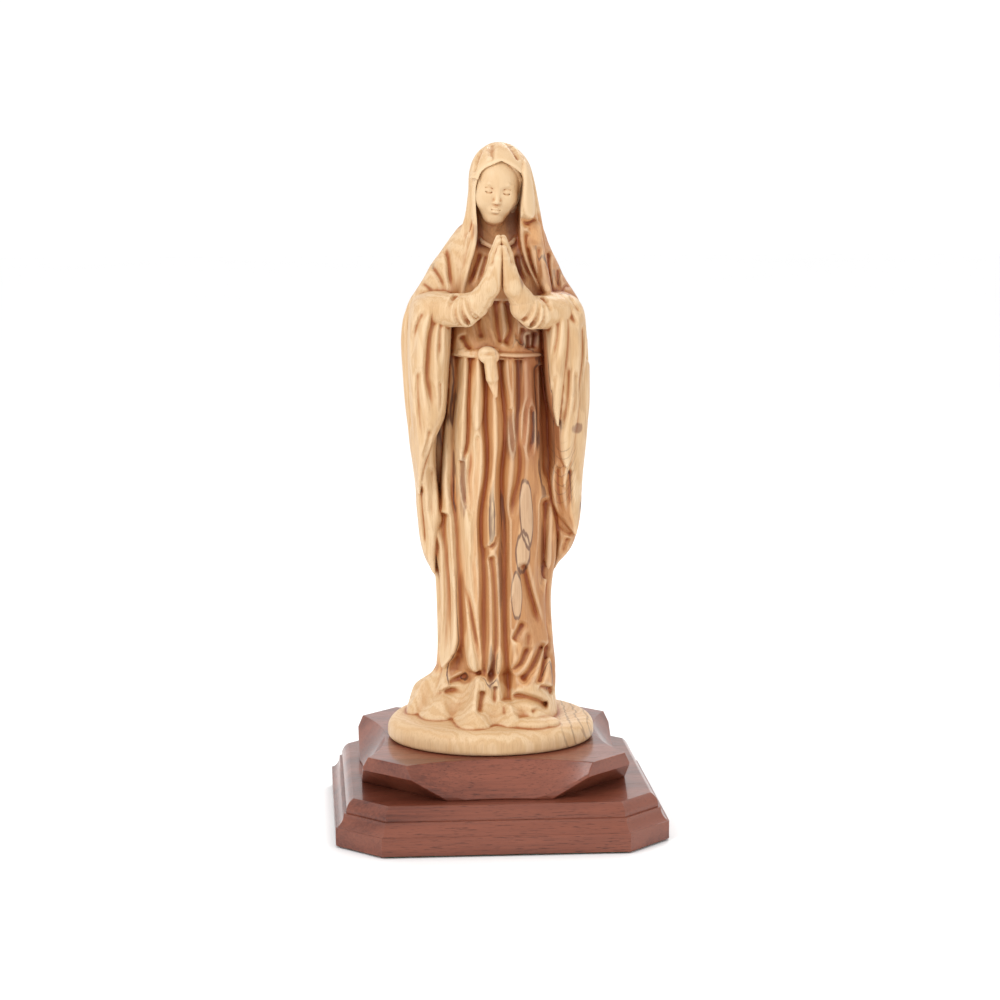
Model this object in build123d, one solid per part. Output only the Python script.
"""Praying madonna on a two-tier plinth: an olive-wood carving screwed to two mahogany boards.

Millimetres, +Z up.  The origin is the centre of the felt's underside, and the figure faces -Y.
"""

import math
import os

from build123d import *

# ---------------------------------------------------------------- driving dimensions
# Felt under the lower plinth
FELT_THICKNESS = 0.8
FELT_INSET = 1.6            # from the lower plinth's edge

# Lower plinth: a square board with clipped corners and a moulded edge
LOWER_WIDTH = 125.0
LOWER_THICKNESS = 17.2
LOWER_CLIP = 16.6           # length of a clipped corner along each side
BAND_HEIGHT = 6.9           # the plain band at the foot of the moulding
BAND_LEDGE = 0.5
COVE_HEIGHT = 5.0
COVE_DEPTH = 2.6
BEAD_LEDGE = 0.9
BEAD_DEPTH = 2.8

# Upper plinth: a square board, scooped on its four sides and undercut at its corners
UPPER_WIDTH = 101.0
UPPER_THICKNESS = 13.4
UPPER_CLIP = 17.5
UPPER_SHIFT = -1.5          # of its centre from the lower plinth's, along X
SIDE_SCOOP_RADIUS = 96.0
SIDE_SCOOP_DEPTH = 9.8      # at the top edge, in the middle of a side
SIDE_SCOOP_BITE = 0.6       # at the bottom edge, in the middle of a side
HORN_THICKNESS = 5.2        # what the undercut leaves at a corner
UNDERCUT_RUN = 9.6          # how far in from the corner the underside is cut away
UPPER_EDGE_ROUNDING = 0.5

# Figure, carved from one log together with its oval foot
FIGURE_HEIGHT = 228.6       # foot included
FIGURE_CARVED_HEIGHT = 228.6  # the height that the stations below are written for
FOOT_LENGTH = 79.8          # across the figure
FOOT_DEPTH = 73.0
FOOT_THICKNESS = 10.2
FOOT_ROUNDING = 4.2
FOOT_SETBACK = -2.4         # of the foot's centre from the lower plinth's, along Y
FOOT_SHIFT = -1.4           # and along X

# Wood screws
THREAD_PITCH = 1.8
THREAD_DEPTH = 0.55
SCREW_TIP = 4.0
DRIVE_DEPTH = 1.6           # of the cross recess
DRIVE_WIDTH = 0.9
HOLE_CLEARANCE = 0.15       # round a shank in a plinth, on the radius
STACK_SCREW_RADIUS = 2.25   # the two long screws that hold the figure
STACK_SCREW_HEAD_RADIUS = 4.4
STACK_SCREW_LENGTH = 46.0
STACK_SCREW_THREAD = 17.5
STACK_SCREW_SPACING = 26.0
TIER_SCREW_RADIUS = 1.75    # the four short screws that join the plinths
TIER_SCREW_HEAD_RADIUS = 3.5
TIER_SCREW_LENGTH = 24.0
TIER_SCREW_THREAD = 11.0
TIER_SCREW_SPACING = 52.0   # between neighbours, both ways
HEAD_RECESS = 1.0           # how deep a screw's head sits under the plinth's underside

# ---------------------------------------------------------------- derived places
LOWER_BOTTOM = FELT_THICKNESS
LOWER_TOP = LOWER_BOTTOM + LOWER_THICKNESS
UPPER_TOP = LOWER_TOP + UPPER_THICKNESS
FOOT_TOP = UPPER_TOP + FOOT_THICKNESS
SCREW_SEAT = LOWER_BOTTOM + HEAD_RECESS
FAR = 4 * LOWER_WIDTH       # longer than anything that a cutter has to cross
SKIN = 0.5                  # how far fused lumps of the carving run into each other at least


# ---------------------------------------------------------------- plinths and felt
def clipped_square(width, clip):
    """A square of that width with its four corners cut off at 45 degrees."""
    half = width / 2
    corners = []
    for quarter in range(4):
        for along, across in ((half, clip - half), (half, half - clip)):
            corners.append(Vector(along, across).rotate(Axis.Z, 90 * quarter))
    return make_face(Polyline(*corners, close=True))


def side_planes(width, clip):
    """Each of the eight sides as (its distance from the centre, the direction it faces in degrees)."""
    flat = width / 2
    corner = (width - clip) / math.sqrt(2)
    return [(flat if turn % 2 == 0 else corner, 45 * turn) for turn in range(8)]


def moulding_cutter():
    """The section that the moulding takes off an edge: x runs out from the side, y runs up."""
    band = (0, LOWER_BOTTOM + BAND_HEIGHT)
    ledge = (-BAND_LEDGE, band[1])
    cove_top = (-BAND_LEDGE - COVE_DEPTH, band[1] + COVE_HEIGHT)
    step = (cove_top[0] - BEAD_LEDGE, cove_top[1])
    bead_top = (step[0] - BEAD_DEPTH, LOWER_TOP)
    out = BEAD_DEPTH
    cove = RadiusArc(ledge, cove_top, 1.15 * COVE_HEIGHT)
    bead = RadiusArc(step, bead_top, -1.05 * max(BEAD_DEPTH, LOWER_TOP - cove_top[1]))
    outline = [
        Line((out, band[1]), band),
        Line(band, ledge),
        cove,
        Line(cove_top, step),
        bead,
        Line(bead_top, (bead_top[0], LOWER_TOP + out)),
        Line((bead_top[0], LOWER_TOP + out), (out, LOWER_TOP + out)),
        Line((out, LOWER_TOP + out), (out, band[1])),
    ]
    return make_face(Wire(outline))


def lower_plinth_blank():
    board = extrude(clipped_square(LOWER_WIDTH, LOWER_CLIP), LOWER_THICKNESS)
    board = Pos(0, 0, LOWER_BOTTOM) * board
    section = moulding_cutter()
    for distance, facing in side_planes(LOWER_WIDTH, LOWER_CLIP):
        # The section's x becomes the outward direction of the side, and its y becomes +Z.
        side = Rot(0, 0, facing) * Pos(distance, 0, 0) * Rot(90, 0, 0)
        board -= side * extrude(section, FAR / 2, both=True)
    return board


def side_scoop():
    """A leaning cylinder that hollows one side of the upper plinth, deepest at the top."""
    lean = math.degrees(math.atan2(SIDE_SCOOP_DEPTH - SIDE_SCOOP_BITE, UPPER_THICKNESS))
    reach = UPPER_WIDTH / 2 - SIDE_SCOOP_BITE + SIDE_SCOOP_RADIUS / math.cos(math.radians(lean))
    roller = Cylinder(SIDE_SCOOP_RADIUS, FAR)
    return Pos(0, 0, LOWER_TOP) * Pos(reach, 0, 0) * Rot(0, -lean, 0) * roller


def corner_undercut():
    """A wedge that takes the underside away from one corner, and leaves the horn above it."""
    corner = (UPPER_WIDTH - UPPER_CLIP) / math.sqrt(2)
    drop = UPPER_THICKNESS - HORN_THICKNESS
    below = 1.0
    slope = UNDERCUT_RUN / drop
    points = [
        (corner - UNDERCUT_RUN - below * slope, -below),
        (corner + slope, drop + 1.0),
        (FAR, drop + 1.0),
        (FAR, -below),
    ]
    wedge = make_face(Polyline(*points, close=True))
    return Pos(0, 0, LOWER_TOP) * Rot(90, 0, 0) * extrude(wedge, FAR / 2, both=True)


def upper_plinth_blank():
    board = Pos(0, 0, LOWER_TOP) * extrude(clipped_square(UPPER_WIDTH, UPPER_CLIP), UPPER_THICKNESS)
    for quarter in range(4):
        board -= Rot(0, 0, 90 * quarter) * side_scoop()
        board -= Rot(0, 0, 45 + 90 * quarter) * corner_undercut()
    board = fillet(board.edges(), UPPER_EDGE_ROUNDING)
    return Pos(UPPER_SHIFT, 0, 0) * board


def felt_sheet():
    return extrude(clipped_square(LOWER_WIDTH - 2 * FELT_INSET, LOWER_CLIP), FELT_THICKNESS)


# ---------------------------------------------------------------- screws
def wood_screw(radius, head_radius, length, thread):
    """A countersunk screw, its head's face at z 0 and its tip up at z = length."""
    root = radius - THREAD_DEPTH
    cone = head_radius - radius
    thread_start = length - thread
    outline = [(0, 0), (head_radius, 0), (radius, cone), (radius, thread_start)]
    z = thread_start
    while z + THREAD_PITCH < length - SCREW_TIP:
        outline += [(root, z + THREAD_DEPTH), (root, z + THREAD_PITCH - THREAD_DEPTH)]
        z += THREAD_PITCH
        outline.append((radius, z))
    outline += [(root, z + THREAD_DEPTH), (root, length - SCREW_TIP), (0, length)]
    profile = make_face(Polyline(*outline, close=True))
    screw = revolve(Rot(90, 0, 0) * profile, Axis.Z)
    slot = Box(1.15 * head_radius, DRIVE_WIDTH, 2 * DRIVE_DEPTH)
    return screw - slot - Rot(0, 0, 90) * slot


def screw_hole(radius, head_radius):
    """The countersink, the recess under the head and a clearance hole, from the same origin."""
    hole = Cylinder(radius + HOLE_CLEARANCE, FAR, align=(Align.CENTER, Align.CENTER, Align.MIN))
    cone_height = head_radius - radius
    sink = Cone(
        head_radius + HOLE_CLEARANCE,
        radius + HOLE_CLEARANCE,
        cone_height,
        align=(Align.CENTER, Align.CENTER, Align.MIN),
    )
    recess = Cylinder(
        head_radius + HOLE_CLEARANCE,
        HEAD_RECESS + SKIN,
        align=(Align.CENTER, Align.CENTER, Align.MAX),
    )
    return hole + sink + recess


def stack_screw_places():
    half = STACK_SCREW_SPACING / 2
    return {
        "figure_screw_left": Pos(-half, FOOT_SETBACK, SCREW_SEAT),
        "figure_screw_right": Pos(half, FOOT_SETBACK, SCREW_SEAT),
    }


def tier_screw_places():
    half = TIER_SCREW_SPACING / 2
    return {
        "plinth_screw_front_left": Pos(-half, -half, SCREW_SEAT),
        "plinth_screw_front_right": Pos(half, -half, SCREW_SEAT),
        "plinth_screw_back_left": Pos(-half, half, SCREW_SEAT),
        "plinth_screw_back_right": Pos(half, half, SCREW_SEAT),
    }


# ---------------------------------------------------------------- figure
# The stations are heights above the figure's own foot, at FIGURE_CARVED_HEIGHT.
# Each is (height, centre x, half width, reach to the front, reach to the back).
GOWN = [
    (7.0, 0.0, 31.0, 31.0, 26.0),
    (14.0, -2.0, 29.0, 28.0, 25.0),
    (27.0, -1.2, 24.2, 23.5, 22.5),
    (45.0, -1.2, 22.0, 20.5, 20.5),
    (80.0, -1.2, 22.3, 19.5, 20.0),
    (115.0, -0.8, 22.0, 18.5, 19.5),
    (148.0, -0.5, 19.5, 16.5, 18.5),
    (168.0, 0.0, 21.0, 16.5, 17.5),
    (183.0, 0.0, 19.0, 14.0, 16.0),
    (194.0, 0.0, 12.0, 10.0, 12.0),
]
LEFT_DRAPE = [
    (64.0, -23.4, 1.6, 5.0, 8.0),
    (78.0, -24.2, 4.6, 11.0, 14.0),
    (100.0, -25.6, 6.6, 14.0, 17.0),
    (130.0, -27.2, 8.0, 16.0, 17.5),
    (156.0, -27.4, 9.2, 19.0, 17.0),
    (168.0, -25.4, 9.4, 18.0, 15.0),
    (178.0, -20.0, 8.0, 12.0, 12.0),
]
RIGHT_DRAPE = [
    (68.0, 22.0, 1.6, 5.0, 8.0),
    (82.0, 23.6, 5.4, 11.0, 14.0),
    (100.0, 24.8, 6.8, 14.0, 17.0),
    (130.0, 25.8, 7.8, 16.0, 17.5),
    (156.0, 25.6, 8.6, 19.0, 17.0),
    (168.0, 23.4, 8.8, 18.0, 15.0),
    (178.0, 18.6, 8.0, 12.0, 12.0),
]
VEIL = [
    (176.0, 0.0, 23.0, 12.0, 16.5),
    (186.0, -0.2, 20.6, 13.6, 16.5),
    (196.0, 0.4, 16.4, 14.8, 15.5),
    (206.0, 1.2, 13.8, 15.4, 15.0),
    (215.0, 1.3, 12.0, 14.6, 13.6),
    (222.0, 1.5, 9.0, 11.4, 10.6),
    (226.4, 1.6, 5.4, 7.0, 6.6),
    (228.6, 1.6, 2.0, 2.6, 2.6),
]
MANTLE_SETBACK = 8.0                 # of the mantle's middle, behind the axis
MANTLE = [
    (9.0, -1.0, 21.5, 4.0, 22.5),
    (24.0, -1.4, 21.5, 4.0, 19.5),
    (60.0, -1.4, 20.6, 4.0, 17.0),
    (100.0, -1.0, 23.6, 6.0, 15.6),
    (140.0, -0.8, 29.4, 8.0, 14.6),
    (163.0, -0.8, 31.2, 8.0, 13.6),
    (176.0, -0.4, 26.6, 8.0, 11.6),
    (186.0, 0.0, 20.0, 7.0, 9.4),
]
OUTLINE_POINTS = 16
FACE_CENTRE = (0.4, -8.8, 210.0)     # x, y, height above the foot's underside
FACE_RADII = (8.4, 8.6, 12.2)
FACE_OPENING = (9.4, 9.0, 13.2)
FACE_TILT = 6.0                      # degrees, the crown leaning to +X
NECK_RADIUS = 5.6
NECK_HEIGHTS = (186.0, 206.0)
# Each limb is a list of (x, y, height, radius).
LEFT_FOREARM = [(-25.0, -10.0, 165.0, 7.6), (-15.0, -19.0, 166.0, 6.4), (-7.4, -24.6, 171.0, 4.6)]
RIGHT_FOREARM = [(24.0, -10.0, 165.0, 7.6), (15.5, -19.0, 166.0, 6.2), (8.6, -24.6, 171.0, 4.6)]
HANDS_REACH = 23.0                   # of the praying hands' middle, in front of the axis
HANDS = [
    (166.5, 0.4, 8.8, 4.6, 9.0),
    (173.0, 0.6, 7.6, 5.2, 9.0),
    (180.0, 0.8, 5.8, 5.0, 8.2),
    (187.0, 0.8, 4.0, 4.2, 7.0),
    (192.0, 0.8, 2.6, 3.0, 5.6),
    (194.8, 0.8, 1.2, 1.4, 3.6),
]
BELT_HEIGHTS = (148.6, 152.4)
BELT_PROUD = 0.7                     # beyond the gown
BELT_KNOT = (-3.6, 151.0, 3.4)       # x, height and radius
# Gouge cuts that carve the folds: (x and height of the top, x and height of the foot, radius).
GOWN_GOUGES = [
    (-16.0, 146.0, -21.5, 60.0, 2.6),
    (-11.0, 146.0, -13.5, 40.0, 2.8),
    (-5.0, 118.0, -5.5, 26.0, 2.4),
    (-1.2, 84.0, 1.0, 24.0, 2.4),
    (3.2, 132.0, 3.6, 22.0, 2.8),
    (7.6, 146.0, 8.4, 104.0, 2.4),
    (12.4, 128.0, 12.0, 112.0, 1.8),
    (9.0, 72.0, 14.0, 42.0, 2.2),
    (18.0, 92.0, 16.6, 58.0, 2.0),
]
MANTLE_GOUGES = [
    (-17.0, 160.0, -15.0, 28.0, 3.4),
    (-6.5, 172.0, -7.4, 22.0, 3.8),
    (2.6, 172.0, 2.4, 22.0, 3.6),
    (12.5, 164.0, 11.0, 26.0, 3.6),
    (21.0, 150.0, 17.0, 40.0, 2.6),
]


def outline_at(height, centre, half_width, front, back):
    """One closed outline of a lofted lump: round, with its own reach to the front and to the back."""
    points = []
    for step in range(OUTLINE_POINTS):
        turn = 2 * math.pi * step / OUTLINE_POINTS
        reach = back if math.sin(turn) > 0 else front
        points.append((centre + half_width * math.cos(turn), reach * math.sin(turn), height))
    return make_face(Wire([Spline(*points, periodic=True)]))


def lump(stations):
    return loft([outline_at(*station) for station in stations])


def limb(stations):
    """A tapering arm or hand through balls of the given radii."""
    made = None
    for (xa, ya, za, ra), (xb, yb, zb, rb) in zip(stations, stations[1:]):
        start, end = Vector(xa, ya, za), Vector(xb, yb, zb)
        along = Plane(origin=start, z_dir=end - start)
        cone = along * Cone(ra, rb, (end - start).length,
                            align=(Align.CENTER, Align.CENTER, Align.MIN))
        joined = cone + Pos(*start) * Sphere(ra) + Pos(*end) * Sphere(rb)
        made = joined if made is None else made + joined
    return made


def reach_at(stations, height, side):
    """How far a lump's surface lies from the axis plane at a height, in front (3) or behind (4)."""
    heights = [station[0] for station in stations]
    height = min(max(height, heights[0]), heights[-1])
    for low, high in zip(stations, stations[1:]):
        if height <= high[0]:
            share = (height - low[0]) / (high[0] - low[0])
            return low[side] + share * (high[side] - low[side])
    return stations[-1][side]


def gouge(top_x, top_height, foot_x, foot_height, radius, stations, facing):
    """A spindle laid on a lump's surface, thick in the middle and running out at both ends."""
    side = 3 if facing < 0 else 4
    ends = []
    for x, height in ((top_x, top_height), (foot_x, foot_height)):
        centre = stations[len(stations) // 2][1]
        half_width = max(abs(x - centre) + radius, max(station[2] for station in stations))
        bulge = math.sqrt(1 - ((x - centre) / half_width) ** 2)
        ends.append(Vector(x, facing * reach_at(stations, height, side) * bulge, height))
    top, foot = ends
    middle = (top + foot) * 0.5
    half_length = (top - foot).length / 2
    up = Plane(origin=middle, z_dir=top - foot)
    spindle = up * Cone(radius, 0.2 * radius, half_length,
                        align=(Align.CENTER, Align.CENTER, Align.MIN))
    down = Plane(origin=middle, z_dir=foot - top)
    return spindle + down * Cone(radius, 0.2 * radius, half_length,
                                 align=(Align.CENTER, Align.CENTER, Align.MIN))


def head_and_veil():
    veil = lump(VEIL)
    turn = Pos(*FACE_CENTRE) * Rot(0, FACE_TILT, 0)
    ball = Sphere(1)
    opening = turn * scale(ball, by=FACE_OPENING)
    face = turn * scale(ball, by=FACE_RADII)
    throat = Pos(FACE_CENTRE[0], -4.0, NECK_HEIGHTS[0]) * Cylinder(
        NECK_RADIUS, NECK_HEIGHTS[1] - NECK_HEIGHTS[0],
        align=(Align.CENTER, Align.CENTER, Align.MIN))
    pocket = Pos(FACE_CENTRE[0], -15.0, NECK_HEIGHTS[0] + 4) * Cylinder(
        0.9 * FACE_OPENING[0], NECK_HEIGHTS[1] - NECK_HEIGHTS[0] - 4,
        align=(Align.CENTER, Align.CENTER, Align.MIN))
    return veil - opening - pocket + throat + face


def mantle():
    """What hangs down the back, with its long folds."""
    cloth = lump(MANTLE)
    for cut in MANTLE_GOUGES:
        cloth -= gouge(*cut, MANTLE, 1)
    return Pos(0, MANTLE_SETBACK, 0) * cloth


def carving():
    """The figure above its foot, at FIGURE_CARVED_HEIGHT, with the foot's underside at z 0."""
    body = lump(GOWN)
    for cut in GOWN_GOUGES:
        body -= gouge(*cut, GOWN, -1)
    body += belt() + mantle()
    for drape in (LEFT_DRAPE, RIGHT_DRAPE):
        body += lump(drape)
    for forearm in (LEFT_FOREARM, RIGHT_FOREARM):
        body += limb(forearm)
    body += Pos(0, -HANDS_REACH, 0) * lump(HANDS)
    return body + head_and_veil()


def belt():
    low, high = BELT_HEIGHTS
    station = min(GOWN, key=lambda s: abs(s[0] - low))
    _, centre, half_width, front, back = station
    grown = (centre, half_width + BELT_PROUD, front + BELT_PROUD, back)
    band = loft([outline_at(low, *grown), outline_at(high, *grown)])
    x, height, radius = BELT_KNOT
    return band + Pos(x, -front, height) * Sphere(radius)


def foot():
    blank = extrude(Ellipse(FOOT_LENGTH / 2, FOOT_DEPTH / 2), FOOT_THICKNESS)
    rounding = min(FOOT_ROUNDING, 0.45 * FOOT_THICKNESS)
    blank = fillet(blank.edges().group_by(Axis.Z)[-1], rounding)
    return Pos(FOOT_SHIFT, FOOT_SETBACK, UPPER_TOP) * blank


def figure_blank():
    factor = FIGURE_HEIGHT / FIGURE_CARVED_HEIGHT
    body = Pos(0, 0, UPPER_TOP) * scale(carving(), by=factor)
    return body + foot()


# ---------------------------------------------------------------- assembly
def main():
    lower, upper, figure = lower_plinth_blank(), upper_plinth_blank(), figure_blank()
    stack_screw = wood_screw(
        STACK_SCREW_RADIUS, STACK_SCREW_HEAD_RADIUS, STACK_SCREW_LENGTH, STACK_SCREW_THREAD)
    tier_screw = wood_screw(
        TIER_SCREW_RADIUS, TIER_SCREW_HEAD_RADIUS, TIER_SCREW_LENGTH, TIER_SCREW_THREAD)
    parts = {}
    for name, place in stack_screw_places().items():
        parts[name] = place * stack_screw
        clearance = place * screw_hole(STACK_SCREW_RADIUS, STACK_SCREW_HEAD_RADIUS)
        lower -= clearance
        upper -= clearance
        figure -= parts[name]
    for name, place in tier_screw_places().items():
        parts[name] = place * tier_screw
        lower -= place * screw_hole(TIER_SCREW_RADIUS, TIER_SCREW_HEAD_RADIUS)
        upper -= parts[name]
    parts["figure_carving"] = figure
    parts["upper_plinth"] = upper
    parts["lower_plinth"] = lower
    parts["felt_sheet"] = felt_sheet()
    os.makedirs("parts", exist_ok=True)
    for name, shape in parts.items():
        export_step(shape, f"parts/{name}.step")
        print(name, "solids", len(shape.solids()), "volume", round(shape.volume, 1))


main()
